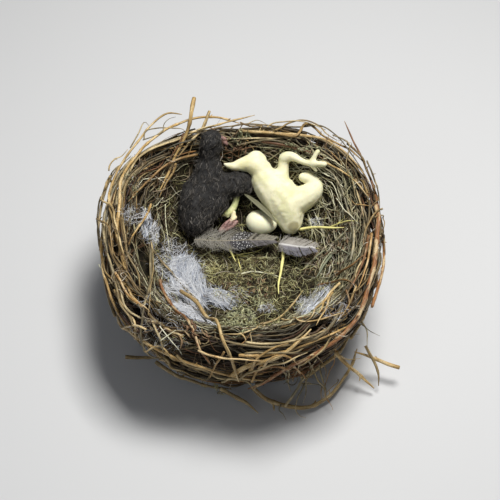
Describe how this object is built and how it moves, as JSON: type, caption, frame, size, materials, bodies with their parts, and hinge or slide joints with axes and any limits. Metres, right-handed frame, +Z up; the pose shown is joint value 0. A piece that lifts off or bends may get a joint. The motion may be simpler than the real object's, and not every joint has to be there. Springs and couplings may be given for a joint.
{
  "type": "bird nest",
  "caption": "Round cup nest of woven twigs, lined with fine grass and moss, holding dead chicks, an egg, feathers, white down and straw; it stands on its flattened base.",
  "frame": {"origin": "centre of the flat underside, where the nest rests", "axes": "+Z up through the open cup, +Y towards the raised back of the rim, +X to the right as seen from the front"},
  "size_m": [0.2788, 0.2595, 0.161],
  "materials": {
    "tan": "dry tan bark",
    "golden": "dry golden stem",
    "grey": "weathered grey bark",
    "brown": "reddish brown bark",
    "wall": "woven dry twigs",
    "lining": "fine dry grass, rootlets and moss",
    "black": "matted dark down",
    "cream": "dry bare skin",
    "egg": "smooth eggshell",
    "slate": "spotted vane",
    "lilac": "soft vane",
    "white": "loose down",
    "straw": "dry straw",
    "green": "dry leaf blade",
    "pink": "dry skin"
  },
  "bodies": {
    "root": {"cup_lining": "lining", "dark_chick": "black", "down_front": "white", "down_large": "white", "down_left": "white", "down_middle": "white", "down_right": "white", "egg": "egg", "grass_blade": "green", "lilac_feather": "lilac", "pale_chick": "cream", "pink_curl": "pink", "spotted_feather": "slate", "straw_left": "straw", "straw_right": "straw", "straw_upright": "straw", "twig_arc_front_low": "tan", "twig_arch_back_right": "grey", "twig_back_high": "golden", "twig_back_low": "tan", "twig_back_mid": "brown", "twig_brown_front_left": "brown", "twig_bulge_left": "tan", "twig_diagonal_front": "golden", "twig_diagonal_golden": "golden", "twig_front_pair": "golden", "twig_front_upper": "tan", "twig_grey_left": "grey", "twig_hoop_right": "brown", "twig_left_band": "golden", "twig_left_inner": "tan", "twig_left_low": "brown", "twig_left_outer": "grey", "twig_left_rib": "tan", "twig_loop_back_left": "golden", "twig_low_front_long": "golden", "twig_low_front_thick": "tan", "twig_right_high": "brown", "twig_right_inner": "grey", "twig_right_low": "tan", "twig_right_mid": "golden", "twig_right_needle": "golden", "twig_rim_back_inner": "brown", "twig_rim_back_left": "golden", "twig_rim_back_long": "golden", "twig_stick_front_low": "tan", "twig_stick_left_low": "tan", "twig_stick_right_golden": "golden", "twig_stick_right_short": "tan", "twig_stick_right_tip": "golden", "twig_stub_short": "tan", "twig_stub_tall": "golden", "twig_thick_back_left": "grey", "twig_tip_back": "golden", "twig_upright_right": "brown", "twig_wall": "wall"}
  },
  "joints": []
}
